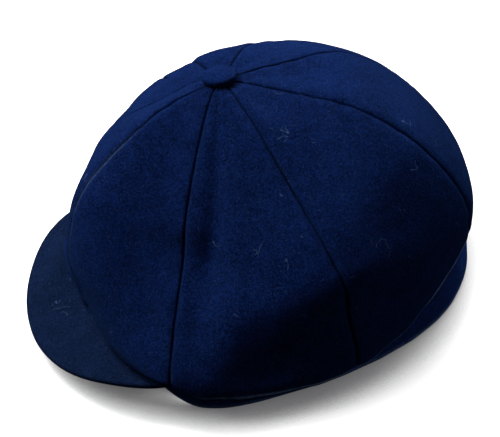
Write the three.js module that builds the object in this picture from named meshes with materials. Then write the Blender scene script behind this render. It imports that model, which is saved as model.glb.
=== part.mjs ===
// A navy wool schoolboy cap with eight panels, a covered button, a short peak and a headband.
// Units are millimetres, +Z is up, the peak points to -Y and the wearer's left is +X.
// Everything is first laid out round the upright axis through the button. A place is then an
// angle round that axis, 0 at the front seam and 90 at the wearer's left, a reach out from the
// axis, and a height above the table.
import * as THREE from "three";
import { mergeVertices } from "three/addons/utils/BufferGeometryUtils.js";

const { degToRad, smoothstep, euclideanModulo, lerp } = THREE.MathUtils;

// Driving dimensions
const CLOTH = 2.0; // thickness of the wool panels
const HEM = 1.3; // where they are pressed and gathered at the headband
const SEAM_GAP = 0.3; // room between neighbouring pieces
const PANELS = 8;
const PANEL_ANGLE = 360 / PANELS;

const HEAD_HALF_SIDE = 81.7; // the headband's outer oval, half its width
const HEAD_HALF_FRONT = 85; // half its length ahead of its middle
const HEAD_HALF_BACK = 99; // and behind it
const HEAD_SETBACK = 5.7; // how far the oval's middle lies behind the button
const HEAD_CORNERS = [
  { out: 7.5, at: 50, spread: 19 }, // it is fuller by the ends of the peak
  { out: 2.5, at: 130, spread: 24 }, // and a little towards the back
];

const BAND_TOP = 21;
const BAND_THICK = 2.5;
const BAND_ARCH = { rise: 9, flat: 36, end: 58 }; // the front edge lifts under the peak

const BUTTON = {
  radius: 8,
  seat: 111, // height of its flat underside
  edge: 112.6, // height of its widest ring
  top: 115.4,
  seatShare: 0.82, // its underside's radius as a share of the full one
  turnShare: 0.96, // and that of the turn halfway up to the widest ring
};
const EYE = { reach: 1.5, height: 111.3 }; // the panels' points, under the button
const CREST = { reach: 10, height: 110.6 }; // and the nearly level cloth round it

const PEAK = {
  turn: -8, // its middle lies this far round from the front seam, as the soft crown is twisted
  end: 52, // angle from there to its two ends
  reach: 105.4, // of its edge at the middle
  taper: 4.6, // less reach towards both ends
  skew: 3.2, // and less still towards the wearer's left
  bluntness: 6, // how square its corners are
  seat: 19.8, // height of its top face at the headband
  droop: 9, // how far the middle of its edge hangs below that
  curl: 1.2, // how the droop grows towards the edge
  thick: 2.8,
  edge: 0.35, // share of the thickness that the turned edge rounds off, above and below
};

// The crown's upright section at each seam, once round from the front seam. Upper and top
// are heights at fixed reaches, the others are a reach and a height each. Sway turns the
// seam's foot sideways, in degrees.
const UPPER_REACH = 30;
const TOP_REACH = 58;
const SECTION_COLUMNS = ["upper", "top", "shoulder", "side", "lower", "tuck", "sway"];
const SECTIONS = [
  [105.8, 91.6, [73, 78], [82.5, 53], [80.5, 33], [79.5, 24], 0], // 0, over the peak
  [99.4, 75, [65.2, 62.7], [84, 43.5], [98.3, 22.5], [95.5, 13.8], 0], // 45, by the peak's end
  [104.2, 87.6, [84, 71], [96, 56], [97, 23], [93, 12.5], 2.5], // 90, the wearer's left
  [107, 100.5, [83.5, 84.6], [103.5, 52], [102.8, 36], [98, 26], 3.5], // 135
  [108.4, 104, [85, 82.5], [100, 61], [104, 36], [107.2, 25], 0], // 180, the back
  [110, 96.5, [87, 80.5], [102, 62], [102.5, 32], [98.8, 22], -3.5], // 225
  [107.6, 86, [86, 72.3], [97, 58], [97.5, 23], [93.5, 13], -2.5], // 270, the wearer's right
  [98.8, 82.5, [64, 61], [70, 40.5], [90, 25], [89.5, 18], 0], // 315, over the peak's other end
].map((row) => Object.fromEntries(SECTION_COLUMNS.map((name, k) => [name, row[k]])));
const STATION = { side: 5, lower: 6, tuck: 7, foot: 8 };

// Over the ends of the peak the crown is lifted clear, and just past them it hangs down again.
const OVER_PEAK = { from: 52.3, to: 58.5, tuckHeight: 20.8, lowerHeight: 22.8 };

const PUFF = { height: -1.0, ends: 7.3, ease: 0.5 }; // the panels lie flatter between seams
const FULLER_SIDE = { height: 1.9, at: 292, spread: 50 }; // but are fuller on the wearer's right
const GROOVE = { depth: 0.4, width: 2.5 }; // and turn in along them

// Soft dents and bulges: where each lies, how deep, how wide each way, and how it leans
const DENTS = [
  { angle: 56, station: 3.6, depth: 3.4, halfAngle: 5, halfStation: 1.6, lean: -2 },
  { angle: 61, station: 5.0, depth: -1.6, halfAngle: 6, halfStation: 0.7, lean: 0 },
  { angle: 35.5, station: 4.9, depth: 1.3, halfAngle: 3.5, halfStation: 0.5, lean: 10 },
  { angle: 70, station: 5.8, depth: 2.6, halfAngle: 12, halfStation: 0.36, lean: 0 },
  { angle: 100, station: 5.45, depth: 4.4, halfAngle: 24, halfStation: 0.36, lean: 0 },
  { angle: 110, station: 4.5, depth: 2.2, halfAngle: 15, halfStation: 0.7, lean: 0 },
  { angle: 250, station: 5.4, depth: 3.0, halfAngle: 20, halfStation: 0.5, lean: 4 },
  { angle: 312, station: 5.0, depth: 1.6, halfAngle: 6, halfStation: 0.9, lean: 2 },
];

const COLORS = { wool: 0x0b1c3f, peak: 0x0f2145, band: 0x101c34 };

// Mesh densities
const ACROSS = [0, 0.05, 0.14, 0.3, 0.5, 0.7, 0.86, 0.95, 1]; // panel columns, seam to seam
const STEPS_PER_STATION = [1, 2, 3, 3, 4, 3, 3, 3];
const BAND_STEPS = 96;
const PEAK_STEPS = 34;
const PEAK_LIMIT = 84; // sine spacing towards the ends, which are cut square just before 90
const PEAK_OUTWARD = [0, 0.25, 0.5, 0.75, 0.93, 1];
const BUTTON_SIDES = 24;
const BUTTON_RINGS = 5;

const cosd = (angle) => Math.cos(degToRad(angle));
const sind = (angle) => Math.sin(degToRad(angle));
const place = (angle, reach, height) =>
  new THREE.Vector3(reach * sind(angle), -reach * cosd(angle), height);

const gauss = (x) => Math.exp(-x * x);

// The turn from one angle to another, -180 to 180.
const turnFrom = (angle, start) => euclideanModulo(angle - start + 180, 360) - 180;

// The least turn from the front seam, 0 to 180, and from the middle of the peak.
const fromFront = (angle) => Math.abs(turnFrom(angle, 0));
const fromPeak = (angle) => fromFront(angle - PEAK.turn);

// Reach of the headband's outer oval: where a ray from the button's axis meets it.
function headReach(angle) {
  const along = -cosd(angle);
  const across = sind(angle);
  const meet = (halfLength) => {
    const a = (across / HEAD_HALF_SIDE) ** 2 + (along / halfLength) ** 2;
    const b = (-HEAD_SETBACK * along) / halfLength ** 2;
    const c = (HEAD_SETBACK / halfLength) ** 2 - 1;
    return (-b + Math.sqrt(b * b - a * c)) / a;
  };
  const ahead = meet(HEAD_HALF_FRONT);
  const oval = ahead * along < HEAD_SETBACK ? ahead : meet(HEAD_HALF_BACK);
  return HEAD_CORNERS.reduce(
    (reach, { out, at, spread }) => reach + out * gauss((fromFront(angle) - at) / spread),
    oval,
  );
}

const bandFoot = (angle) =>
  BAND_ARCH.rise * (1 - smoothstep(fromPeak(angle), BAND_ARCH.flat, BAND_ARCH.end));

// A smooth value between equally spaced ones that go once round.
function roundSpline(values, turn) {
  const n = values.length;
  const i = Math.floor(turn);
  const f = turn - i;
  const [p0, p1, p2, p3] = [-1, 0, 1, 2].map((k) => values[euclideanModulo(i + k, n)]);
  const bend = 2 * p0 - 5 * p1 + 4 * p2 - p3;
  return 0.5 * (2 * p1 + (p2 - p0) * f + bend * f * f + (3 * p1 - p0 - 3 * p2 + p3) * f ** 3);
}

const around = (angle, read) =>
  roundSpline(SECTIONS.map(read), euclideanModulo(angle, 360) / PANEL_ANGLE);
const swayAt = (angle, station) =>
  around(angle, (row) => row.sway) * Math.min(station / STATION.lower, 1) ** 2;

// The crown's upright section at any angle, a smooth curve through its stations.
function section(angle) {
  const over = 1 - smoothstep(fromPeak(angle), OVER_PEAK.from, OVER_PEAK.to);
  const at = (name, k) => around(angle, (row) => row[name][k]);
  const lowerHeight = at("lower", 1);
  const tuckHeight = at("tuck", 1);
  const stations = [
    [EYE.reach, EYE.height],
    [CREST.reach, CREST.height],
    [UPPER_REACH, around(angle, (row) => row.upper)],
    [TOP_REACH, around(angle, (row) => row.top)],
    [at("shoulder", 0), at("shoulder", 1)],
    [at("side", 0), at("side", 1)],
    [at("lower", 0), lerp(lowerHeight, Math.max(lowerHeight, OVER_PEAK.lowerHeight), over)],
    [at("tuck", 0), lerp(tuckHeight, Math.max(tuckHeight, OVER_PEAK.tuckHeight), over)],
    [headReach(angle + swayAt(angle, STATION.foot)) + SEAM_GAP, BAND_TOP + SEAM_GAP],
  ];
  const points = stations.map(([reach, height]) => new THREE.Vector3(reach, 0, height));
  return new THREE.CatmullRomCurve3(points, false, "centripetal");
}

// How far the cloth stands out from the plain section: swell, seam groove and dents.
function relief(angle, station, reach) {
  const across = euclideanModulo(angle / PANEL_ANGLE, 1);
  const seamDistance = Math.min(across, 1 - across) * degToRad(PANEL_ANGLE) * reach;
  const swell = Math.sin(Math.PI * Math.min(station / PUFF.ends, 1));
  const nearFoot = 1 - smoothstep(station, PUFF.ends, STATION.foot);
  const fuller = gauss(turnFrom(angle, FULLER_SIDE.at) / FULLER_SIDE.spread);
  const height = PUFF.height + FULLER_SIDE.height * fuller;
  const puff = height * swell * (Math.sin(Math.PI * across) ** 2 - PUFF.ease);
  const groove = GROOVE.depth * nearFoot * gauss(seamDistance / GROOVE.width);
  const dents = DENTS.map((dent) => {
    const down = station - dent.station;
    const turn = turnFrom(angle, dent.angle + dent.lean * down);
    return dent.depth * gauss(turn / dent.halfAngle) * gauss(down / dent.halfStation);
  });
  return puff - groove - dents.reduce((sum, depth) => sum + depth, 0);
}

// A point of the crown's cloth, inset from its outer face.
function crownPoint(angle, station, inset) {
  const curve = section(angle);
  const t = station / STATION.foot;
  const point = curve.getPoint(t);
  const tangent = curve.getTangent(t);
  const out = relief(angle, station, point.x) - inset;
  return place(angle + swayAt(angle, station), point.x - tangent.z * out, point.z + tangent.x * out);
}

// Closed body from rows of points: every row is a closed loop, and the first and last rows
// are either joined to each other or closed by flat ends.
function loft(rows, ring = false) {
  const n = rows[0].length;
  const positions = rows.flat().flatMap((p) => [p.x, p.y, p.z]);
  const faces = [];
  const last = ring ? rows.length : rows.length - 1;
  for (let i = 0; i < last; i++) {
    for (let j = 0; j < n; j++) {
      const a = i * n + j;
      const b = i * n + ((j + 1) % n);
      const c = ((i + 1) % rows.length) * n + ((j + 1) % n);
      const d = ((i + 1) % rows.length) * n + j;
      faces.push(a, c, b, a, d, c);
    }
  }
  if (!ring) {
    // A loop here is an outer line and an inner line of equal length, closed as a strip.
    const half = n / 2;
    for (let j = 0; j < half - 1; j++) {
      const [a, b, c, d] = [j, j + 1, n - 2 - j, n - 1 - j];
      const base = (rows.length - 1) * n;
      faces.push(a, b, c, a, c, d);
      faces.push(base + a, base + c, base + b, base + a, base + d, base + c);
    }
  }
  const geometry = new THREE.BufferGeometry();
  geometry.setAttribute("position", new THREE.Float32BufferAttribute(positions, 3));
  geometry.setIndex(faces);
  return geometry;
}

function piece(name, geometry, color, roughness) {
  geometry.computeVertexNormals();
  const material = new THREE.MeshStandardMaterial({ color, roughness, metalness: 0 });
  const mesh = new THREE.Mesh(geometry, material);
  mesh.name = name;
  return mesh;
}

const STATIONS = STEPS_PER_STATION.flatMap((steps, k) =>
  Array.from({ length: steps }, (_, i) => k + i / steps),
).concat(STATION.foot);

function crownPanel(index) {
  const start = index * PANEL_ANGLE;
  const rows = STATIONS.map((station) => {
    const reach = section(start).getPoint(station / STATION.foot).x;
    const halfGap = THREE.MathUtils.radToDeg(SEAM_GAP / 2 / reach);
    const wall = lerp(CLOTH, HEM, smoothstep(station, STATION.side, STATION.tuck));
    const angles = ACROSS.map((f) => lerp(start + halfGap, start + PANEL_ANGLE - halfGap, f));
    const outer = angles.map((angle) => crownPoint(angle, station, 0));
    const inner = angles.map((angle) => crownPoint(angle, station, wall)).reverse();
    return [...outer, ...inner];
  });
  return piece(`crown_panel_${index + 1}`, loft(rows), COLORS.wool, 0.95);
}

function headband() {
  const rows = Array.from({ length: BAND_STEPS }, (_, i) => {
    const angle = (i * 360) / BAND_STEPS;
    const outer = headReach(angle);
    const inner = outer - BAND_THICK;
    const foot = bandFoot(angle);
    return [
      place(angle, outer, foot),
      place(angle, outer, BAND_TOP),
      place(angle, inner, BAND_TOP),
      place(angle, inner, foot),
    ];
  });
  return piece("band", loft(rows, true), COLORS.band, 0.9);
}

// The peak's section runs out over its top face, round its turned edge and back underneath.
function peak() {
  const rows = Array.from({ length: PEAK_STEPS + 1 }, (_, i) => {
    const spread = sind(lerp(PEAK_LIMIT, -PEAK_LIMIT, i / PEAK_STEPS));
    const angle = PEAK.turn + PEAK.end * spread;
    const inner = headReach(angle) + SEAM_GAP;
    const full = PEAK.reach - PEAK.taper * spread ** 2 - PEAK.skew * spread - inner;
    const width = full * (1 - Math.abs(spread) ** PEAK.bluntness) ** (1 / PEAK.bluntness);
    const hang = PEAK.droop * cosd(90 * spread) ** 2;
    const face = (side) => (f) => {
      const turned = PEAK.edge * PEAK.thick * smoothstep(f, PEAK_OUTWARD.at(-2), 1);
      const depth = side === "top" ? turned : PEAK.thick - turned;
      return place(angle, inner + width * f, PEAK.seat - hang * f ** PEAK.curl - depth);
    };
    return [...PEAK_OUTWARD.map(face("top")), ...PEAK_OUTWARD.map(face("under")).reverse()];
  });
  return piece("peak", loft(rows), COLORS.peak, 0.85);
}

function coveredButton() {
  const { radius, seat, edge, top, seatShare, turnShare } = BUTTON;
  const dome = Array.from({ length: BUTTON_RINGS }, (_, i) => {
    const rise = (90 * i) / BUTTON_RINGS;
    return new THREE.Vector2(radius * cosd(rise), edge + (top - edge) * sind(rise));
  });
  const profile = [
    new THREE.Vector2(0, seat),
    new THREE.Vector2(radius * seatShare, seat),
    new THREE.Vector2(radius * turnShare, (seat + edge) / 2),
    ...dome,
    new THREE.Vector2(0, top),
  ];
  const lathe = new THREE.LatheGeometry(profile, BUTTON_SIDES);
  lathe.deleteAttribute("normal");
  lathe.deleteAttribute("uv");
  lathe.rotateX(Math.PI / 2);
  return piece("button", mergeVertices(lathe), COLORS.wool, 0.95);
}

const cap = new THREE.Group();
for (let i = 0; i < PANELS; i++) cap.add(crownPanel(i));
cap.add(headband(), peak(), coveredButton());

// The origin lies on the table under the middle of the cap's box.
const middle = new THREE.Box3().setFromObject(cap).getCenter(new THREE.Vector3());
cap.position.set(-middle.x, -middle.y, 0);

export default cap;
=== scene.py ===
# %% [markdown]
# # A navy wool schoolboy cap
#
# Eight panels of felted wool meet under a covered button, a narrow headband gathers them in at the head
# opening, and a short stiff peak stands out at the front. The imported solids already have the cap's size
# and its main shape. Each of them gets a finer twin here, in cloth that is turned in at its seams, slack
# between them, and finished as brushed navy wool.

import math

import bmesh
import bpy
import numpy as np
from mathutils import Matrix, Vector


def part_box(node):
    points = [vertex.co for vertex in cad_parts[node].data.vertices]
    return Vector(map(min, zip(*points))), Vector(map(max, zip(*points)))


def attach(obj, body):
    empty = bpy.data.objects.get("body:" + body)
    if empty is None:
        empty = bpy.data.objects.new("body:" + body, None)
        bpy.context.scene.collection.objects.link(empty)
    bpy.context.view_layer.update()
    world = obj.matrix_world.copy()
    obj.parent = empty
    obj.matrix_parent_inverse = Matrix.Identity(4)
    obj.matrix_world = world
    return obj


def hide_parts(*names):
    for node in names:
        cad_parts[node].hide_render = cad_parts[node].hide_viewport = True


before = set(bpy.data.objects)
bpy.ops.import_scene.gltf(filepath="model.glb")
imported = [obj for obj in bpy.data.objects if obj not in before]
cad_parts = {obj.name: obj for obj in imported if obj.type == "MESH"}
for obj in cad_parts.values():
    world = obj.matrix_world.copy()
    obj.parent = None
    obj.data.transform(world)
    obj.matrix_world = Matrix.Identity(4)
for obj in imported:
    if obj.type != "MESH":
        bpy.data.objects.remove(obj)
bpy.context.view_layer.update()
MM = 0.001  # shapes are worked out in millimetres, and the scene is in metres
print("solids:", sorted(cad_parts))

# %% [markdown]
# ## The pattern
#
# A cap maker works from the button outwards, so everything here is placed by an angle round the upright
# axis through the button, 0 at the front seam and 90 at the wearer's left, then a reach out from that
# axis and a height above the table. The axis, the headband and the button are read from the solids, so
# that the cloth lies exactly where they are.

# %% Sizes read from the solids
def box_mm(node):
    """Lowest and highest corner of a solid, in millimetres."""
    low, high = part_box(node)
    return np.array(low) / MM, np.array(high) / MM


button_low, button_high = box_mm("button")
band_low, band_high = box_mm("band")
AXIS = (button_low[:2] + button_high[:2]) / 2
BUTTON_RADIUS = (button_high[0] - button_low[0]) / 2
BAND_TOP = band_high[2]
print("button axis", AXIS.round(2), "headband's top", BAND_TOP.round(2))


# %% Places, turns and soft steps
def place(angle, reach, height):
    """Points in the cap's frame, in millimetres, from arrays of angles in degrees, reaches and heights."""
    turn = np.radians(angle)
    x = AXIS[0] + reach * np.sin(turn)
    y = AXIS[1] - reach * np.cos(turn)
    return np.stack(np.broadcast_arrays(x, y, height), axis=-1)


def turn_from(angle, start):
    """The turn from one angle to another, -180 to 180 degrees."""
    return (angle - start + 180) % 360 - 180


def smoothstep(x, start, end):
    """0 before start, 1 after end, and an even ease between them."""
    t = np.clip((x - start) / (end - start), 0, 1)
    return t * t * (3 - 2 * t)


def gauss(x):
    """1 in the middle, and gone at about twice the width that x is a share of."""
    return np.exp(-x * x)


# %% The head oval
HEAD_SETBACK = 5.7  # the widest place of the head oval lies this far behind the button
HEAD_CORNERS = [  # and it is fuller by the ends of the peak, and a little towards the back
    {"out": 7.5, "at": 50, "spread": 19},
    {"out": 2.5, "at": 130, "spread": 24},
]
HEAD_HALF_SIDE = (band_high[0] - band_low[0]) / 2
HEAD_HALF_FRONT = AXIS[1] - band_low[1] + HEAD_SETBACK
HEAD_HALF_BACK = band_high[1] - AXIS[1] - HEAD_SETBACK


def head_reach(angle):
    """Reach of the headband's outer face: where a ray from the button's axis meets the head oval."""
    along, across = -np.cos(np.radians(angle)), np.sin(np.radians(angle))

    def meet(half_length):
        a = (across / HEAD_HALF_SIDE) ** 2 + (along / half_length) ** 2
        b = -HEAD_SETBACK * along / half_length**2
        c = (HEAD_SETBACK / half_length) ** 2 - 1
        return (-b + np.sqrt(b * b - a * c)) / a

    ahead = meet(HEAD_HALF_FRONT)
    oval = np.where(ahead * along < HEAD_SETBACK, ahead, meet(HEAD_HALF_BACK))
    from_front = np.abs(turn_from(angle, 0))
    return oval + sum(c["out"] * gauss((from_front - c["at"]) / c["spread"]) for c in HEAD_CORNERS)


print("head oval", (2 * HEAD_HALF_SIDE).round(1), "wide", (HEAD_HALF_FRONT + HEAD_HALF_BACK).round(1), "long")

# %% [markdown]
# ## The crown's sections
#
# A soft crown could be draped by a cloth simulation, but then its folds fall where they like. This cap's
# shape is known at each of its seams, so the crown is a smooth skin through one upright section for each
# seam. A section is a curve through named stations, from the eye under the button out over the shoulder,
# down the side, and back in to the headband.

# %% Section table
PANELS = 8
PANEL_ANGLE = 360 / PANELS
SEAM_GAP = 0.3  # room that the solids leave between neighbours
EYE = (1.5, 111.3)  # reach and height of the panels' points
CREST = (10, 110.6)  # and of the nearly level cloth round the button
UPPER_REACH = 30
TOP_REACH = 58
SECTION_COLUMNS = ("upper", "top", "shoulder", "side", "lower", "tuck", "sway")
SECTIONS = [  # heights at the upper and top reach, reach and height of the others, and the seam's sway
    (105.8, 91.6, (73, 78), (82.5, 53), (80.5, 33), (79.5, 24), 0),  # 0, over the peak
    (99.4, 75, (65.2, 62.7), (84, 43.5), (98.3, 22.5), (95.5, 13.8), 0),  # 45, at the peak's end
    (104.2, 87.6, (84, 71), (96, 56), (97, 23), (93, 12.5), 2.5),  # 90, the wearer's left
    (107, 100.5, (83.5, 84.6), (103.5, 52), (102.8, 36), (98, 26), 3.5),  # 135
    (108.4, 104, (85, 82.5), (100, 61), (104, 36), (107.2, 25), 0),  # 180, the back
    (110, 96.5, (87, 80.5), (102, 62), (102.5, 32), (98.8, 22), -3.5),  # 225
    (107.6, 86, (86, 72.3), (97, 58), (97.5, 23), (93.5, 13), -2.5),  # 270, the wearer's right
    (98.8, 82.5, (64, 61), (70, 40.5), (90, 25), (89.5, 18), 0),  # 315, over the peak's other end
]
ROWS = [dict(zip(SECTION_COLUMNS, row)) for row in SECTIONS]
SIDE, LOWER, TUCK, FOOT = 5, 6, 7, 8  # numbers of the last stations
PEAK_TURN = -8  # the soft crown sits a little twisted on the headband and its peak
# The crown is lifted clear of the peak, up to these turns from the peak's middle.
OVER_PEAK = {"from": 52.3, "to": 58.5, "tuck_height": 20.8, "lower_height": 22.8}
print(f"{len(ROWS)} sections of {FOOT + 1} stations")


# %% Smooth values round the crown
def around(angle, values):
    """A smooth value between one value for each seam, going once round the crown."""
    turn = (np.asarray(angle, float) % 360) / PANEL_ANGLE
    seam = np.floor(turn).astype(int)
    f = turn - seam
    p0, p1, p2, p3 = (np.asarray(values, float)[(seam + k) % PANELS] for k in (-1, 0, 1, 2))
    bend = 2 * p0 - 5 * p1 + 4 * p2 - p3
    return 0.5 * (2 * p1 + (p2 - p0) * f + bend * f**2 + (3 * p1 - p0 - 3 * p2 + p3) * f**3)


def seam_values(column, part=None):
    """One column of the section table, for the eight seams in turn."""
    return [row[column] if part is None else row[column][part] for row in ROWS]


def sway_at(angle, station):
    """How far a seam turns sideways on its way down, in degrees."""
    return around(angle, seam_values("sway")) * np.minimum(station / LOWER, 1) ** 2


def from_peak(angle):
    """The least turn from the middle of the peak."""
    return np.abs(turn_from(angle, PEAK_TURN))


# %% Stations
def stations_at(angle):
    """Reach and height of the nine stations at each angle."""
    over = 1 - smoothstep(from_peak(angle), OVER_PEAK["from"], OVER_PEAK["to"])

    def pair(column):
        return around(angle, seam_values(column, 0)), around(angle, seam_values(column, 1))

    def lifted(column, height_over_peak):
        reach, height = pair(column)
        return reach, height + (np.maximum(height, height_over_peak) - height) * over

    def fixed(value):
        return np.full(np.shape(angle), float(value))

    reach_height = [
        (fixed(EYE[0]), fixed(EYE[1])),
        (fixed(CREST[0]), fixed(CREST[1])),
        (fixed(UPPER_REACH), around(angle, seam_values("upper"))),
        (fixed(TOP_REACH), around(angle, seam_values("top"))),
        pair("shoulder"),
        pair("side"),
        lifted("lower", OVER_PEAK["lower_height"]),
        lifted("tuck", OVER_PEAK["tuck_height"]),
        (head_reach(angle + sway_at(angle, FOOT)) + SEAM_GAP, fixed(BAND_TOP + SEAM_GAP)),
    ]
    return np.stack([np.stack(station, axis=-1) for station in reach_height], axis=-2)


# %% The curve through the stations
NUDGE = 1e-3  # in stations, to find the way a section runs


def along_section(stations, station):
    """A point of each section at a station number, on a centripetal curve that keeps tight bends even."""
    count = stations.shape[-2]
    index = np.clip(np.floor(station).astype(int), 0, count - 2)

    def pick(k):
        chosen = np.clip(index + k, 0, count - 1)[..., None, None]
        return np.take_along_axis(stations, chosen, axis=-2)[..., 0, :]

    def spacing(start, end):
        return np.sqrt(np.linalg.norm(end - start, axis=-1))[..., None]

    p1, p2 = pick(0), pick(1)
    p0 = np.where((index == 0)[..., None], 2 * p1 - p2, pick(-1))
    p3 = np.where((index == count - 2)[..., None], 2 * p2 - p1, pick(2))
    a, b, c = spacing(p0, p1), spacing(p1, p2), spacing(p2, p3)
    t1 = ((p1 - p0) / a - (p2 - p0) / (a + b) + (p2 - p1) / b) * b
    t2 = ((p2 - p1) / b - (p3 - p1) / (b + c) + (p3 - p2) / c) * b
    f = (station - index)[..., None]
    return p1 + t1 * f + (3 * (p2 - p1) - 2 * t1 - t2) * f**2 + (2 * (p1 - p2) + t1 + t2) * f**3


def crown_section(angle, station):
    """Reach, height and outward direction of the plain crown skin."""
    stations = stations_at(angle)
    before = along_section(stations, np.clip(station - NUDGE, 0, FOOT))
    after = along_section(stations, np.clip(station + NUDGE, 0, FOOT))
    run = (after - before) / np.linalg.norm(after - before, axis=-1, keepdims=True)
    point = along_section(stations, station)
    return point[..., 0], point[..., 1], np.stack([-run[..., 1], run[..., 0]], axis=-1)


# %% [markdown]
# ## Panels that lie flat, and soft dents
#
# The solids already have these forms, and the cloth repeats them: a panel lies a little flatter than the
# round of the crown, it turns in along its seams, and the limp crown is pushed in at a few places. Each
# is a soft bump along the outward direction, so a dent is one line of a table.

# %% Plain relief
PUFF = {"height": -1.0, "ends": 7.3, "ease": 0.5}  # the panels lie flatter between their seams
FULLER_SIDE = {"height": 1.9, "at": 292, "spread": 50}  # but are fuller on the wearer's right
GROOVE = {"depth": 0.25, "width": 2.2}  # and they turn in along the seams
DENTS = [  # where each soft dent or bulge lies, how deep, how wide each way, and how it leans
    {"angle": 56, "station": 3.6, "depth": 3.4, "half_angle": 5, "half_station": 1.6, "lean": -2},
    {"angle": 61, "station": 5.0, "depth": -1.6, "half_angle": 6, "half_station": 0.7, "lean": 0},
    {"angle": 35.5, "station": 4.9, "depth": 1.3, "half_angle": 3.5, "half_station": 0.5, "lean": 10},
    {"angle": 70, "station": 5.8, "depth": 2.6, "half_angle": 12, "half_station": 0.36, "lean": 0},
    {"angle": 100, "station": 5.45, "depth": 4.4, "half_angle": 24, "half_station": 0.36, "lean": 0},
    {"angle": 110, "station": 4.5, "depth": 2.2, "half_angle": 15, "half_station": 0.7, "lean": 0},
    {"angle": 250, "station": 5.4, "depth": 3.0, "half_angle": 20, "half_station": 0.5, "lean": 4},
    {"angle": 312, "station": 5.0, "depth": 1.6, "half_angle": 6, "half_station": 0.9, "lean": 2},
]


def crown_relief(angle, station, reach):
    """How far the cloth stands out, how far the nearest seam is, and a share that ends at the foot."""
    across = (angle / PANEL_ANGLE) % 1
    seam_distance = np.minimum(across, 1 - across) * math.radians(PANEL_ANGLE) * reach
    above_foot = 1 - smoothstep(station, PUFF["ends"], FOOT)
    swell = np.sin(np.pi * np.minimum(station / PUFF["ends"], 1))
    fuller = gauss(turn_from(angle, FULLER_SIDE["at"]) / FULLER_SIDE["spread"])
    puff = PUFF["height"] + FULLER_SIDE["height"] * fuller
    out = puff * swell * (np.sin(np.pi * across) ** 2 - PUFF["ease"])
    out -= GROOVE["depth"] * above_foot * gauss(seam_distance / GROOVE["width"])
    for dent in DENTS:
        down = station - dent["station"]
        turn = turn_from(angle, dent["angle"] + dent["lean"] * down)
        out -= dent["depth"] * gauss(turn / dent["half_angle"]) * gauss(down / dent["half_station"])
    return out, seam_distance, above_foot


# %% [markdown]
# ## Seams, slack and puckers
#
# Two panels are sewn face to face and pressed open, so the cloth rolls over into a narrow crease, and
# the pressed turnings lift it a little on both sides. The thread draws the cloth up, which leaves small
# puckers beside the seam, round the button and where the crown is gathered into the headband. Felted
# wool is soft, so between the seams it also lies in long shallow waves.
#
# The waves are sums of sines with seeded directions. They cost nothing, give the same cloth at every
# run, and a wave goes on across a seam, as it does in a real crown.

# %% Waves of slack cloth
SINES = 20  # in one sum
LENGTH_SPREAD = (0.75, 1.35)  # the shortest and the longest, as shares of the wave's length


def slack(points, wave):
    """Even random waves of about one length, in millimetres, with values mostly between -1 and 1."""
    rng = np.random.default_rng(wave["seed"])
    directions = rng.normal(size=(SINES, 3))
    directions /= np.linalg.norm(directions, axis=1, keepdims=True)
    rates = 2 * np.pi / (wave["length"] * rng.uniform(*LENGTH_SPREAD, SINES))
    phases = rng.uniform(0, 2 * np.pi, SINES)
    flat = np.asarray(points).reshape(-1, 3)
    total = np.sin(flat @ (directions * rates[:, None]).T + phases).sum(axis=1)
    return (total / math.sqrt(SINES)).reshape(np.shape(points)[:-1])


# %% Finer forms of the crown's cloth
CREASE = {"depth": 0.9, "width": 0.55}  # the narrow fold at the stitch line
TURNING = {"lift": 0.12, "at": 3.6, "width": 2.2}  # the pressed turnings beside it
SEAM_PUCKER = {"depth": 0.16, "length": 8, "seed": 21, "reach": 5}
WAVES = [
    {"depth": 0.4, "length": 62, "seed": 11},
    {"depth": 0.14, "length": 24, "seed": 12},
    {"depth": 0.05, "length": 10, "seed": 13},
]
DRAWN_SMOOTH = 3  # the button draws the cloth smooth, fading out at this many times its radius
BUTTON_PUCKER = {"depth": 0.3, "count": 17, "at": 10, "width": 4, "wander": 2, "length": 20, "seed": 22}
GATHER = {"depth": 0.55, "length": 13, "seed": 23}  # where the headband draws the crown in


def cloth_detail(angle, station, reach, seam_distance, above_foot, plain):
    """The finer forms that only the cloth has: crease, turnings, puckers and slack."""
    free = smoothstep(reach, BUTTON_RADIUS, DRAWN_SMOOTH * BUTTON_RADIUS) * above_foot
    detail = -CREASE["depth"] * above_foot * gauss(seam_distance / CREASE["width"])
    detail += TURNING["lift"] * free * gauss((seam_distance - TURNING["at"]) / TURNING["width"])
    beside_seam = gauss(seam_distance / SEAM_PUCKER["reach"])
    detail += SEAM_PUCKER["depth"] * free * beside_seam * slack(plain, SEAM_PUCKER)
    for wave in WAVES:
        detail += wave["depth"] * free * slack(plain, wave)
    ring = gauss((reach - BUTTON_PUCKER["at"]) / BUTTON_PUCKER["width"])
    wander = BUTTON_PUCKER["wander"] * slack(plain, BUTTON_PUCKER)
    drawn = np.sin(np.radians(angle) * BUTTON_PUCKER["count"] + wander)
    detail += BUTTON_PUCKER["depth"] * ring * (drawn - 1) / 2
    near_hem = smoothstep(station, LOWER, TUCK) * (1 - smoothstep(station, TUCK, FOOT))
    return detail + GATHER["depth"] * near_hem * slack(plain, GATHER)


# %% [markdown]
# ## From rows of points to a closed piece
#
# Every piece of this cap is a skin through rows of points, so one helper makes them all. A row is a
# closed loop, the rows are joined in turn, and the ends are either joined to each other, as in the
# headband, or closed. The loops run over the face of the cloth and back along its lining side, which
# gives each piece its real thickness.

# %% The skin helper
SHARP_ANGLE = 55  # degrees: the cloth's cut edges stay crisp, everything else is shaded smooth


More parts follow.
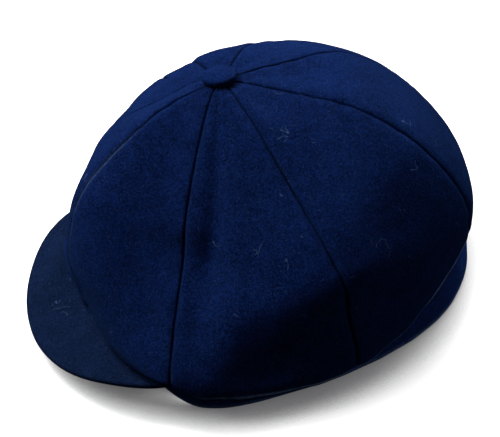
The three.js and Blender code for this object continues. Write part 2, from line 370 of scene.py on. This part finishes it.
def skin(name, rows, ring=False, marks=None):
    """A closed mesh object through rows of loops, shape (rows, points, 3), in millimetres."""
    count, n = rows.shape[:2]
    i = np.arange(count if ring else count - 1)[:, None]
    j = np.arange(n)[None, :]
    ahead, beside = (i + 1) % count, (j + 1) % n
    corners = (i * n + j, i * n + beside, ahead * n + beside, ahead * n + j)
    faces = np.stack(np.broadcast_arrays(*corners), -1).reshape(-1, 4).tolist()
    # An open end is closed as a strip, from the face of the cloth to its lining side.
    first_points = [] if ring else [0, (count - 1) * n]
    for base in first_points:
        strip = range(n // 2 - 1)
        faces += [[base + k, base + k + 1, base + n - 2 - k, base + n - 1 - k] for k in strip]
    mesh = bpy.data.meshes.new(name)
    mesh.from_pydata((rows.reshape(-1, 3) * MM).tolist(), [], faces)
    for mark, values in (marks or {}).items():
        layer = mesh.attributes.new(mark, "FLOAT", "POINT")
        layer.data.foreach_set("value", np.ascontiguousarray(values, np.float32).ravel())
    work = bmesh.new()
    work.from_mesh(mesh)
    bmesh.ops.recalc_face_normals(work, faces=work.faces)
    work.to_mesh(mesh)
    work.free()
    mesh.shade_smooth()
    mesh.set_sharp_from_angle(angle=math.radians(SHARP_ANGLE))
    piece = bpy.data.objects.new(name, mesh)
    bpy.context.scene.collection.objects.link(piece)
    print(f"{name}: {len(mesh.polygons)} faces")
    return piece


def dress(piece, node):
    """The piece stands for its solid, which is hidden, and rides with the cap."""
    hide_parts(node)
    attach(piece, "root")
    return piece


# %% [markdown]
# ## The eight crown panels
#
# Each panel is a wall of wool about 2 mm thick, pressed thinner where it is gathered into the headband.
# Its columns crowd towards the seams, where the crease needs them, and its rows lie one or two
# millimetres apart. Inside, the pressed turnings show as flat bands on both sides of each seam.
#
# Two marks are kept on the points for the finish to read. One is painted shade, a dark line along the crease
# where two panels meet, the other is a painted highlight along the front seam's ridge and the fold above the
# headband. A picture could hold them, but the points already lie in rows along the folds.

# %% Wall and columns of a panel
CLOTH = 2.0
HEM = 1.3  # its thickness where it is gathered
INSIDE_TURNING = {"thick": 0.8, "width": 6.5, "ease": 0.8}
SEAM_ROOM = 0.01  # the panels all but touch where they are sewn
EDGE_STEPS = np.array([0, 0.25, 0.5, 0.8, 1.2, 1.7, 2.4, 3.3, 4.5, 6.0])  # distances from a seam
EDGE_SHARE = 0.25  # the most of a panel's width that these steps take up at each side
MIDDLE_COLUMNS = 27


def wall_at(station, seam_distance):
    """Thickness of the wool, with the turnings inside."""
    width = INSIDE_TURNING["width"]
    turning = 1 - smoothstep(seam_distance, width, width + INSIDE_TURNING["ease"])
    turning = turning * (1 - smoothstep(station, LOWER, TUCK))
    return CLOTH + (HEM - CLOTH) * smoothstep(station, SIDE, TUCK) + INSIDE_TURNING["thick"] * turning


def panel_columns(seam_reach):
    """Angles of a panel's columns, from its first seam, for a row at this reach."""
    width = math.radians(PANEL_ANGLE) * seam_reach
    steps = EDGE_STEPS * min(1, EDGE_SHARE * width / EDGE_STEPS[-1])
    middle = np.linspace(steps[-1], width - steps[-1], MIDDLE_COLUMNS + 2)[1:-1]
    distances = np.concatenate([steps, middle, width - steps[::-1]])
    room = SEAM_ROOM / 2
    return np.clip(distances, room, width - room) / width * PANEL_ANGLE


# %% Painted seam shade and painted highlights on the folds
# painted shade: a dark line along each seam's crease, a little uneven along its length
SEAM_SHADE_LINE = {"half_width": 0.5, "uneven": 0.25, "length": 45, "seed": 24}
HIGHLIGHT_OVER_SEAM_SHADE = {"rate": 2, "most": 0.8}  # how soon the painted highlight hides the painted seam shade, and how much of it
# A painted highlight runs along the front seam's ridge: it lies in millimetres beside the seam and comes and
# goes between stations.
FRONT_RIDGE_HIGHLIGHT = {"at": 0.6, "width": 1.0, "from": (1.9, 3.2), "to": (5.6, 6.4), "share": 0.26}
HEM_FOLD_HIGHLIGHT = {  # a painted highlight on the crease above the headband: where it runs at each turn from the front, and how strong
    "turn": (50, 60, 75, 85, 97, 108, 116, 125, 135, 148, 165),
    "station": (6.42, 6.45, 6.6, 6.7, 6.76, 6.62, 6.42, 6.18, 6.0, 5.98, 6.05),
    "highlight_share": (0, 1.3, 1.2, 1.0, 1.0, 1.2, 1.4, 1.5, 1.3, 0.6, 0),
}
HEM_HIGHLIGHT_WIDTH = 0.06  # half width of its painted highlight, in stations


def painted_highlights(angle, station, reach):
    """Painted highlights, pale: along the front seam's ridge and the fold above the headband."""
    turn = turn_from(angle, 0)
    ridge = gauss((np.radians(turn) * reach - FRONT_RIDGE_HIGHLIGHT["at"]) / FRONT_RIDGE_HIGHLIGHT["width"])
    ridge *= smoothstep(station, *FRONT_RIDGE_HIGHLIGHT["from"]) * (1 - smoothstep(station, *FRONT_RIDGE_HIGHLIGHT["to"]))
    fold_station = np.interp(np.abs(turn), HEM_FOLD_HIGHLIGHT["turn"], HEM_FOLD_HIGHLIGHT["station"])
    highlight_share = np.interp(np.abs(turn), HEM_FOLD_HIGHLIGHT["turn"], HEM_FOLD_HIGHLIGHT["highlight_share"])
    return FRONT_RIDGE_HIGHLIGHT["share"] * ridge + highlight_share * gauss((station - fold_station) / HEM_HIGHLIGHT_WIDTH)


def painted_seam_shade(seam_distance, above_foot, plain, painted_highlight):
    """Painted shade: how dark the line is along the crease where two panels meet."""
    uneven = 1 + SEAM_SHADE_LINE["uneven"] * (slack(plain, SEAM_SHADE_LINE) - 1)
    kept = 1 - np.minimum(HIGHLIGHT_OVER_SEAM_SHADE["rate"] * painted_highlight, HIGHLIGHT_OVER_SEAM_SHADE["most"])
    return gauss(seam_distance / SEAM_SHADE_LINE["half_width"]) * above_foot * uneven * kept


# %% Crown panels
ROWS_PER_STATION = (3, 12, 16, 16, 22, 16, 14, 14)
SEAM_LAP = 0.7  # the cut edges slant by this much, so that no light shows through a seam


def crown_panel(index):
    """One panel's outer face, and its lining side behind it."""
    fine = np.concatenate([k + np.arange(n) / n for k, n in enumerate(ROWS_PER_STATION)] + [[FOOT]])
    seam_reach = crown_section(np.full(fine.shape, index * PANEL_ANGLE), fine)[0]
    angle = np.stack([index * PANEL_ANGLE + panel_columns(reach) for reach in seam_reach])
    station = np.repeat(fine[:, None], angle.shape[1], axis=1)
    reach, height, outward = crown_section(angle, station)
    turned = angle + sway_at(angle, station)
    plain = place(turned, reach, height)
    out, seam_distance, above_foot = crown_relief(angle, station, reach)
    detail = cloth_detail(angle, station, reach, seam_distance, above_foot, plain)
    lap = np.degrees(SEAM_LAP / np.maximum(reach, BUTTON_RADIUS))

    def at(turn, offset):
        return place(turn, reach + outward[..., 0] * offset, height + outward[..., 1] * offset)

    outer = at(turned, out + detail)
    inner = at(turned + lap, out - wall_at(station, seam_distance))
    rows = np.concatenate([outer, inner[:, ::-1]], axis=1)
    # painted highlights on the folds, and painted shade along the seams' creases
    painted_highlight = painted_highlights(angle, station, reach)
    marks = {"seam": painted_seam_shade(seam_distance, above_foot, plain, painted_highlight), "painted_highlight": painted_highlight}
    both = {mark: np.concatenate([values, 0 * values], axis=1) for mark, values in marks.items()}
    return skin(f"crown_panel_{index + 1}_cloth", rows, marks=both)


panels = [dress(crown_panel(i), f"crown_panel_{i + 1}") for i in range(PANELS)]

# %% [markdown]
# ## The headband
#
# A folded strip of the same wool runs round the head opening. Its lower fold is soft and round, its
# upper edge is hidden under the crown, and at the front it arches up under the peak. It could be swept
# along a curve, but a row of loops takes the arch and the fold at once.

# %% The strip's section
BAND_THICK = 2.5
BAND_ARCH = {"rise": 9, "flat": 36, "end": 58}  # turns from the peak's middle
BAND_FOLD = 1.1  # radius of the rounded lower fold
BAND_TOP_ROUND = 0.5
CORNER_POINTS = 5
SIDE_POINTS = 10


def band_foot(angle):
    """Height of the strip's lower edge."""
    return BAND_ARCH["rise"] * (1 - smoothstep(from_peak(angle), BAND_ARCH["flat"], BAND_ARCH["end"]))


def band_loop(foot):
    """The strip's section as offsets from its outer face and heights, up the outside and down the inside."""
    fold, top = BAND_FOLD, BAND_TOP_ROUND

    def corner(centre_out, centre_height, radius, start):
        turn = np.radians(start + np.linspace(0, 90, CORNER_POINTS))
        return [(centre_out + radius * np.cos(t), centre_height + radius * np.sin(t)) for t in turn]

    def side(out, start, end):
        return [(out, h) for h in np.linspace(start, end, SIDE_POINTS + 2)[1:-1]]

    low_out = corner(-fold, foot + fold, fold, -90)
    outside = side(0, foot + fold, BAND_TOP - top)
    high_out = corner(-top, BAND_TOP - top, top, 0)
    high_in = corner(-BAND_THICK + top, BAND_TOP - top, top, 90)
    inside = side(-BAND_THICK, BAND_TOP - top, foot + fold)
    low_in = corner(-BAND_THICK + fold, foot + fold, fold, 180)
    return np.array(low_out + outside + high_out + high_in + inside + low_in)


# %% Headband
BAND_COLUMNS = 240
BAND_WAVE = {"depth": 0.22, "length": 26, "seed": 31, "fade": 4}  # fading out below its upper edge
BAND_FOLD_HIGHLIGHT = {"height": 1.2, "width": 0.8, "share": 0.45}  # the painted highlight along its lower fold


def headband():
    """The strip, a little wavy, once round the head opening."""
    angle = np.arange(BAND_COLUMNS) * 360 / BAND_COLUMNS
    foot = band_foot(angle)
    loops = np.stack([band_loop(height) for height in foot])
    out, height = loops[..., 0], loops[..., 1]
    reach = head_reach(angle)[:, None] + out
    points = place(angle[:, None], reach, height)
    below_top = 1 - smoothstep(height, BAND_TOP - BAND_WAVE["fade"], BAND_TOP)
    wave = BAND_WAVE["depth"] * slack(points, BAND_WAVE) * below_top
    above_foot = height - foot[:, None]
    # a painted highlight along the strip's lower fold
    painted_highlight = BAND_FOLD_HIGHLIGHT["share"] * gauss((above_foot - BAND_FOLD_HIGHLIGHT["height"]) / BAND_FOLD_HIGHLIGHT["width"])
    rows = place(angle[:, None], reach - np.abs(wave), height)
    return skin("band_cloth", rows, ring=True, marks={"painted_highlight": painted_highlight * (out > -BAND_FOLD)})


band = dress(headband(), "band")

# %% [markdown]
# ## The peak
#
# The peak is a stiffener covered in wool above and below, sewn round its edge and turned. It leaves the
# headband nearly level, droops a little in the middle, and its edge is close to an arc round the button.
# The turned edge stands slightly proud, and a fine groove runs along the middle of the edge where the
# two covers meet.

# %% Peak sizes
PEAK = {
    "end": 52,  # turn from its middle to its two ends
    "reach": 105.4,  # of its edge at the middle
    "taper": 4.6,  # less reach towards both ends
    "skew": 3.2,  # and less still towards the wearer's left
    "bluntness": 6,  # how square its corners are
    "seat": 19.8,  # height of its top face at the headband
    "droop": 9,  # how far the middle of its edge hangs below that
    "curl": 1.2,  # how the droop grows towards the edge
    "thick": 2.8,
}
PEAK_LIMIT = 84  # sine spacing towards the ends, which are cut square just before 90
PEAK_ROWS = 120
PEAK_COLUMNS = 44
ROLL_POINTS = 12  # round its edge
TURNED_EDGE = {"width": 3.6, "lift": 0.22, "ease": 1.2}
EDGE_GROOVE = {"depth": 0.35, "width": 0.3}  # the width is in radians of the rounded edge
THIN_END = 0.25  # the edge's radius is at most this share of the peak's width there
PEAK_WAVE = {"depth": 0.16, "length": 30, "seed": 41}


# %% Peak
def peak():
    """Top face, rounded edge and underside in one row for each turn."""
    limit = math.radians(PEAK_LIMIT)
    spread = np.sin(np.linspace(limit, -limit, PEAK_ROWS))[:, None]
    angle = PEAK_TURN + PEAK["end"] * spread
    inner = head_reach(angle) + SEAM_GAP
    power = PEAK["bluntness"]
    full = PEAK["reach"] - PEAK["taper"] * spread**2 - PEAK["skew"] * spread - inner
    width = full * (1 - np.abs(spread) ** power) ** (1 / power)
    hang = PEAK["droop"] * np.cos(np.pi / 2 * spread) ** 2
    half = PEAK["thick"] / 2
    round_off = np.minimum(half, THIN_END * width)
    flat_width = width - round_off

    def surface(out, side, depth):
        middle = PEAK["seat"] - half - hang * (out / width) ** PEAK["curl"]
        return place(angle, inner + out, middle + side * depth)

    # Columns crowd towards the edge, and the last of them run round it.
    out = flat_width * np.sin(np.linspace(0, np.pi / 2, PEAK_COLUMNS))[None, :]
    turned_in = TURNED_EDGE["width"]
    proud = 1 - smoothstep(width - out, turned_in, turned_in + TURNED_EDGE["ease"])
    depth = half + TURNED_EDGE["lift"] * (proud - 1)
    rolls = np.linspace(0, np.pi, ROLL_POINTS + 2)[None, 1:-1]
    groove = EDGE_GROOVE["depth"] * gauss((rolls - np.pi / 2) / EDGE_GROOVE["width"])
    edge = surface(flat_width + (round_off - groove) * np.sin(rolls), 1, half * np.cos(rolls))
    rows = np.concatenate([surface(out, 1, depth), edge, surface(out, -1, depth)[:, ::-1]], axis=1)
    seen_from_above = rows * (1, 1, 0)  # so that both faces rise and fall together
    rows[..., 2] += PEAK_WAVE["depth"] * (slack(seen_from_above, PEAK_WAVE) - 1)
    return skin("peak_cloth", rows)


peak_piece = dress(peak(), "peak")

# %% [markdown]
# ## The covered button
#
# A disc of wool is drawn over a domed metal button and gathered below, so the top is smooth and the side
# shows small tucks. Rings from the underside to the top make it, and the tucks are ripples that fade
# towards the top.

# %% Button
BUTTON_SEAT = button_low[2]
BUTTON_TOP = button_high[2]
BUTTON_EDGE = BUTTON_SEAT + 2.3  # height of its widest ring
BUTTON_SIDES = 96
UNDERSIDE_RINGS = (0.03, 0.4, 0.7, 0.8)  # shares of its radius
LOWER_ROUND = {"share": 0.14, "drop": 0.95, "rings": np.linspace(-80, -10, 6)}  # rings in degrees
DOME_RINGS = (0, 6, 12, 20, 28, 36, 45, 54, 63, 72, 80, 85, 88.4)  # degrees up from the widest one
TUCKS = {"depth": 0.16, "count": 15, "wander": 1.6, "length": 9, "seed": 51, "fade": 0.75}


def button():
    """Rings of the underside, the rounded side and the dome, with the tucks in them."""
    rise = BUTTON_TOP - BUTTON_EDGE
    drop = LOWER_ROUND["drop"] * (BUTTON_EDGE - BUTTON_SEAT)
    share = LOWER_ROUND["share"]
    rings = [(r, BUTTON_SEAT) for r in UNDERSIDE_RINGS]
    for t in np.radians(LOWER_ROUND["rings"]):
        rings.append((1 - share + share * math.cos(t), BUTTON_EDGE + drop * math.sin(t)))
    rings += [(math.cos(t), BUTTON_EDGE + rise * math.sin(t)) for t in np.radians(DOME_RINGS)]
    reach = BUTTON_RADIUS * np.array([r for r, _ in rings])[:, None]
    height = np.array([h for _, h in rings])[:, None]
    turn = np.arange(BUTTON_SIDES) * 360 / BUTTON_SIDES
    wander = TUCKS["wander"] * slack(place(turn, BUTTON_RADIUS, BUTTON_EDGE), TUCKS)
    fade = 1 - smoothstep(height, BUTTON_EDGE, BUTTON_EDGE + TUCKS["fade"] * rise)
    ripple = TUCKS["depth"] * (np.sin(np.radians(turn) * TUCKS["count"] + wander) - 1) * fade
    return skin("button_cloth", place(turn, reach + ripple * reach / BUTTON_RADIUS, height))


button_piece = dress(button(), "button")

# %% [markdown]
# ## Shader arithmetic
#
# A finish is easier to read as arithmetic than as a drawing of nodes. A small class wraps one socket of a
# node tree, so that `1 - mask` or `a * 0.4 + b` adds the Math nodes by itself. Any other node comes from
# one method of the finish, which takes the node's type, its settings and the values of its sockets.

# %% Sockets as values
class Value:
    """One output socket that Python arithmetic can use."""

    def __init__(self, finish, socket):
        self.finish, self.socket = finish, socket

    def math(self, operation, *others):
        sockets = dict(enumerate((self, *others)))
        return self.finish.node("Math", {"operation": operation}, sockets)

    def __add__(self, other):
        return self.math("ADD", other)

    def __sub__(self, other):
        return self.math("SUBTRACT", other)

    def __rsub__(self, other):
        return self * -1 + other

    def __mul__(self, other):
        return self.math("MULTIPLY", other)

    __radd__ = __add__
    __rmul__ = __mul__

    def ramp(self, low, high):
        """0 at low, 1 at high, with an even ease between them."""
        sockets = {"Value": self, "From Min": low, "From Max": high}
        return self.finish.node("MapRange", {"interpolation_type": "SMOOTHSTEP"}, sockets)


# %% Finishes
MIX_FACTOR, MIX_LOW, MIX_HIGH, MIX_RESULT = 0, 6, 7, 2  # a Mix node's sockets for colours


class Finish:
    """A material whose nodes are made by expressions."""

    def __init__(self, name, **shader):
        self.material = bpy.data.materials.new(name)
        self.material.use_nodes = True
        self.tree = self.material.node_tree
        self.shader = self.tree.nodes["Principled BSDF"]
        for socket, value in shader.items():
            self.shader.inputs[socket.replace("_", " ")].default_value = value

    def node(self, kind, settings, sockets, output=0):
        made = self.tree.nodes.new("ShaderNode" + kind)
        for setting, value in settings.items():
            setattr(made, setting, value)
        for socket, value in sockets.items():
            if isinstance(value, Value):
                self.tree.links.new(value.socket, made.inputs[socket])
            else:
                made.inputs[socket].default_value = value
        return Value(self, made.outputs[output])

    def feed(self, socket, value):
        self.tree.links.new(value.socket, self.shader.inputs[socket])

    def blend(self, low, high, factor):
        """A colour between two colours."""
        sockets = {MIX_FACTOR: factor, MIX_LOW: low, MIX_HIGH: high}
        return self.node("Mix", {"data_type": "RGBA"}, sockets, output=MIX_RESULT)

    def noise(self, where, per_metre, detail=2.0, roughness=0.5, distortion=0.0):
        sockets = {
            "Vector": where,
            "Scale": per_metre,
            "Detail": detail,
            "Roughness": roughness,
            "Distortion": distortion,
        }
        return self.node("TexNoise", {"noise_dimensions": "3D"}, sockets)


def rgba(red, green, blue):
    """A colour from its usual 0 to 255 screen values, as the linear values that shaders take."""
    def linear(level):
        s = level / 255
        return s / 12.92 if s <= 0.04045 else ((s + 0.055) / 1.055) ** 2.4

    return (linear(red), linear(green), linear(blue), 1.0)


# %% [markdown]
# ## Brushed wool
#
# Felted wool is a dense mat of fine fibres that stand up a little. It has no visible weave: what the eye
# sees is a soft speckle and cloudy patches where the nap was brushed another way. Both are noise in the
# colour, and the mat itself is a fine bump. The fibres swallow nearly all light, so the gloss is off and
# the sheen is only a trace of blue. A mirror-like highlight would lay a grey veil over the navy.
#
# The marks of the panels come in here: the painted seam shade is nearly black, and the painted highlights on
# the folds are pale and grainy. A few stray fibres lie on the cloth, as on any worn wool. Each one is the
# middle line of a noise, kept only where a second noise is high.

# %% Colours and grain of the wool
NAVY_DEEP = rgba(2, 6, 25)
NAVY_LIT = rgba(8, 23, 62)
# painted seam shade, and the pale colour that stray fibres, fibre tips and painted highlights blend towards
NAVY_SEAM_SHADE = rgba(0, 2, 10)
NAVY_PALE_FIBRE_AND_HIGHLIGHT = rgba(90, 112, 150)
# the headband's two navies are lighter than the crown's: painted light on the strip, which lies in the
# crown's shade
STRIP_DEEP, STRIP_LIT = rgba(6, 15, 44), rgba(14, 34, 84)
PEAK_DEEP, PEAK_LIT = rgba(3, 7, 19), rgba(9, 19, 42)
FELT = {
    "Roughness": 0.95,
    "Specular_IOR_Level": 0,
    "Sheen_Weight": 0.02,
    "Sheen_Roughness": 0.45,
    "Sheen_Tint": (0.2, 0.45, 1.0, 1.0),
}
CLOUDS, PATCHES, CURLS, SPECKLE, MAT = 38, 160, 420, 1350, 1500  # grains to a metre
LINT_LINES, LINT_PLACES, FIBRE_TIPS = 190, 95, 1700
SOFT, GRAINY = (0.3, 0.7), (0.4, 0.62)  # between these two values a noise turns from dark to light
LINT_WIDTH = (0.004, 0.014)  # off the middle line of its noise
LINT_RARE, TIPS_RARE = (0.76, 0.79), (0.66, 0.8)
# grain and patches of the painted highlights
HIGHLIGHT_GRAIN_EASE, HIGHLIGHT_PATCH_EASE = (0.35, 0.6), (0.2, 0.5)
TONE = {"clouds": 0.18, "patches": 0.18, "speckle": 0.64}  # shares in the colour
HEIGHT = {"mat": 0.5, "curls": 0.35, "patches": 0.4}  # shares in the bump
# how far the painted seam shade darkens the wool
SEAM_SHADE_DARKNESS = 0.85
PALE = {"lint": 0.2, "tips": 0.05, "highlight_share": 0.4, "highlight_grain": 0.4}
NAP = {"strength": 0.9, "distance": 0.001}


# %% The wool finish
def wool(name, deep, lit, nap=1.0):
    """Brushed wool between two navies. A lower nap is smoother."""
    finish = Finish(name, **FELT)
    where = finish.node("TexCoord", {}, {}, output="Object")
    clouds = finish.noise(where, CLOUDS, detail=3, roughness=0.55)
    patches = finish.noise(where, PATCHES, detail=3, roughness=0.6, distortion=0.4)
    curls = finish.noise(where, CURLS, detail=2, distortion=1.5)
    mat = finish.noise(where, MAT, detail=3, roughness=0.7, distortion=2.5)
    speckle = finish.noise(where, SPECKLE, detail=2, roughness=0.6, distortion=0.8)
    seam = finish.node("Attribute", {"attribute_name": "seam"}, {}, output="Fac")
    painted_highlight = finish.node("Attribute", {"attribute_name": "painted_highlight"}, {}, output="Fac")

    tone = clouds.ramp(*SOFT) * TONE["clouds"] + patches.ramp(*SOFT) * TONE["patches"]
    tone = tone + speckle.ramp(*GRAINY) * TONE["speckle"]
    # the seam mark darkens the wool: painted shade along the seams' creases
    base = finish.blend(finish.blend(deep, lit, tone), NAVY_SEAM_SHADE, seam * SEAM_SHADE_DARKNESS)

    off_line = (finish.noise(where, LINT_LINES, detail=1.5) - 0.5).math("ABSOLUTE")
    rare = finish.noise(where, LINT_PLACES, detail=0).ramp(*LINT_RARE)
    lint = (1 - off_line.ramp(*LINT_WIDTH)) * rare
    tips = finish.noise(where, FIBRE_TIPS, detail=0).ramp(*TIPS_RARE)
    # painted highlights, pale and grainy
    highlight_share = speckle.ramp(*HIGHLIGHT_GRAIN_EASE) * PALE["highlight_grain"] + PALE["highlight_share"]
    highlight_share = painted_highlight * highlight_share * patches.ramp(*HIGHLIGHT_PATCH_EASE)
    pale = lint * PALE["lint"] + tips * PALE["tips"] + highlight_share
    finish.feed("Base Color", finish.blend(base, NAVY_PALE_FIBRE_AND_HIGHLIGHT, pale))

    height = mat * HEIGHT["mat"] + curls * HEIGHT["curls"] + patches * HEIGHT["patches"]
    bump = {"Strength": NAP["strength"] * nap, "Distance": NAP["distance"], "Height": height}
    finish.feed("Normal", finish.node("Bump", {}, bump))
    return finish.material


crown_wool = wool("brushed_navy_wool", NAVY_DEEP, NAVY_LIT)
band_wool = wool("navy_wool_strip", STRIP_DEEP, STRIP_LIT, nap=0.8)
peak_wool = wool("navy_wool_stretched", PEAK_DEEP, PEAK_LIT, nap=0.7)
for piece in (*panels, button_piece):
    piece.data.materials.append(crown_wool)
band.data.materials.append(band_wool)
peak_piece.data.materials.append(peak_wool)
print("finishes:", crown_wool.name, band_wool.name, peak_wool.name)

# %% [markdown]
# ## Floor, light and camera
#
# The cap lies on white that stays white right up to a soft narrow shadow. Lamps strong enough to burn a
# floor white would also bleach the navy, so this paper glows by itself, and it darkens only where the
# cap hangs close over it. Inside the head opening it is dark like the hollow, so nothing shines out
# under the peak.
#
# Nearly all the light comes from the far side of the cap and from behind it. It grazes the crown, so the
# seams and dents show, and it leaves the near side low down in the dark.

# %% Floor
FLOOR_SIZE = 6.0
WHITE = (1, 1, 1, 1)
PAPER = {"Base_Color": (0.3, 0.3, 0.3, 1), "Roughness": 0.9, "Emission_Strength": 0.9}
FLOOR_SHADE = rgba(96, 96, 98)
HOLLOW_DARK = rgba(12, 14, 20)
SHADOW_REACH = 0.03  # metres: nothing further off darkens the paper
SHADOW_EASE = (0.35, 0.85)  # how open the paper lies where it is darkest and where it is white
HOLLOW_EASE = (0.85, 1.05)  # the dark ends between these shares of the head oval
OCCLUSION_RAYS = 8

half_floor = FLOOR_SIZE / 2
floor_corners = [(x * half_floor, y * half_floor, 0) for x, y in ((-1, -1), (1, -1), (1, 1), (-1, 1))]
floor_mesh = bpy.data.meshes.new("floor")
floor_mesh.from_pydata(floor_corners, [], [(0, 1, 2, 3)])
floor = bpy.data.objects.new("floor", floor_mesh)
bpy.context.scene.collection.objects.link(floor)

paper = Finish("white_paper", **PAPER)
occlusion = {"samples": OCCLUSION_RAYS}
open_above = paper.node("AmbientOcclusion", occlusion, {"Distance": SHADOW_REACH}, output="AO")
shaded = paper.blend(FLOOR_SHADE, WHITE, open_above.ramp(*SHADOW_EASE))
where = paper.node("TexCoord", {}, {}, output="Object")
one_at_the_oval = (1 / (HEAD_HALF_SIDE * MM), 2 / ((HEAD_HALF_FRONT + HEAD_HALF_BACK) * MM), 0)
oval = paper.node("VectorMath", {"operation": "MULTIPLY"}, {0: where, 1: one_at_the_oval})
from_middle = paper.node("VectorMath", {"operation": "LENGTH"}, {0: oval}, output="Value")
paper.feed("Emission Color", paper.blend(HOLLOW_DARK, shaded, from_middle.ramp(*HOLLOW_EASE)))
floor_mesh.materials.append(paper.material)
floor.visible_diffuse = False  # the dark cloth keeps its depth of tone on the side that faces the floor
print("floor:", FLOOR_SIZE, "m wide")

# %% Pale room
# A white shell round the set closes the view behind the floor. Like the floor it adds no light of its own.
ROOM_SIZE = 0.95  # as a share of the floor's
ROOM_SIDES = 48
ROOM_RINGS = 24
room_mesh = bpy.data.meshes.new("room")
room_work = bmesh.new()
room_shell = {"u_segments": ROOM_SIDES, "v_segments": ROOM_RINGS, "radius": ROOM_SIZE * half_floor}
bmesh.ops.create_uvsphere(room_work, **room_shell)
room_work.to_mesh(room_mesh)
room_work.free()
room_paint = Finish("white_room", Base_Color=(0, 0, 0, 1), Emission_Color=WHITE, Emission_Strength=1)
room_mesh.materials.append(room_paint.material)
room = bpy.data.objects.new("room", room_mesh)
bpy.context.scene.collection.objects.link(room)
room.visible_diffuse = room.visible_glossy = room.visible_shadow = False
print("room:", len(room_mesh.polygons), "faces")

# %% Lights
TARGET = Vector((AXIS[0] + 5.5, AXIS[1] + 1.4, 40.4)) * MM  # the camera's and the lamps' aim
LAMP_DISTANCE = 1.3
LAMPS = {  # turn from the front seam, rise, both in degrees, size in metres and watts
    "over_far_side": (300, 60, 0.6, 38),
    "low_behind": (225, 28, 0.6, 35),
    "back": (200, 28, 0.6, 9),
    "front": (340, 50, 0.6, 15),
    "beside_back": (150, 10, 0.4, 4),
}
WORLD_LIGHT = 0.08


def look_from(turn, rise):
    """Unit direction from the cap to a place at this turn and rise."""
    a, e = math.radians(turn), math.radians(rise)
    return Vector((math.sin(a) * math.cos(e), -math.cos(a) * math.cos(e), math.sin(e)))


def lamp(name, turn, rise, size, watts):
    """A round soft lamp that looks at the cap."""
    data = bpy.data.lights.new(name, "AREA")
    data.shape = "DISK"
    data.size, data.energy = size, watts
    light = bpy.data.objects.new(name, data)
    back = look_from(turn, rise)
    light.location = TARGET + back * LAMP_DISTANCE
    light.rotation_mode = "QUATERNION"
    light.rotation_quaternion = back.to_track_quat("Z", "Y")
    bpy.context.scene.collection.objects.link(light)


for name, values in LAMPS.items():
    lamp(name, *values)
world = bpy.data.worlds.new("pale_room")
world.use_nodes = True
world.node_tree.nodes["Background"].inputs["Color"].default_value = WHITE
world.node_tree.nodes["Background"].inputs["Strength"].default_value = WORLD_LIGHT
bpy.context.scene.world = world
bpy.context.scene.view_settings.view_transform = "Standard"  # colours come out as they are mixed
print("lamps:", len(LAMPS), "with", sum(watts for *_, watts in LAMPS.values()), "watts in all")

# %% Camera
CAMERA_TURN = 69.2  # degrees round from the front seam, towards the wearer's left
CAMERA_RISE = 34.4
CAMERA_ROLL = -9.1
CAMERA_DISTANCE = 0.690
LENS = 109.67
SENSOR_WIDTH = 36
CLIP = (0.01, 50)

camera_data = bpy.data.cameras.new("camera")
camera_data.lens = LENS
camera_data.sensor_width = SENSOR_WIDTH
camera_data.sensor_fit = "HORIZONTAL"
camera_data.clip_start, camera_data.clip_end = CLIP
camera = bpy.data.objects.new("camera", camera_data)
bpy.context.scene.collection.objects.link(camera)
back = look_from(CAMERA_TURN, CAMERA_RISE)
level_right = Vector((math.cos(math.radians(CAMERA_TURN)), math.sin(math.radians(CAMERA_TURN)), 0))
level_up = back.cross(level_right)
roll = math.radians(CAMERA_ROLL)
right = level_right * math.cos(roll) + level_up * math.sin(roll)
up = level_up * math.cos(roll) - level_right * math.sin(roll)
turned = Matrix((right, up, back)).transposed().to_4x4()
camera.matrix_world = Matrix.Translation(TARGET + back * CAMERA_DISTANCE) @ turned
bpy.context.scene.camera = camera
print("camera at", tuple(round(part, 3) for part in camera.matrix_world.translation))
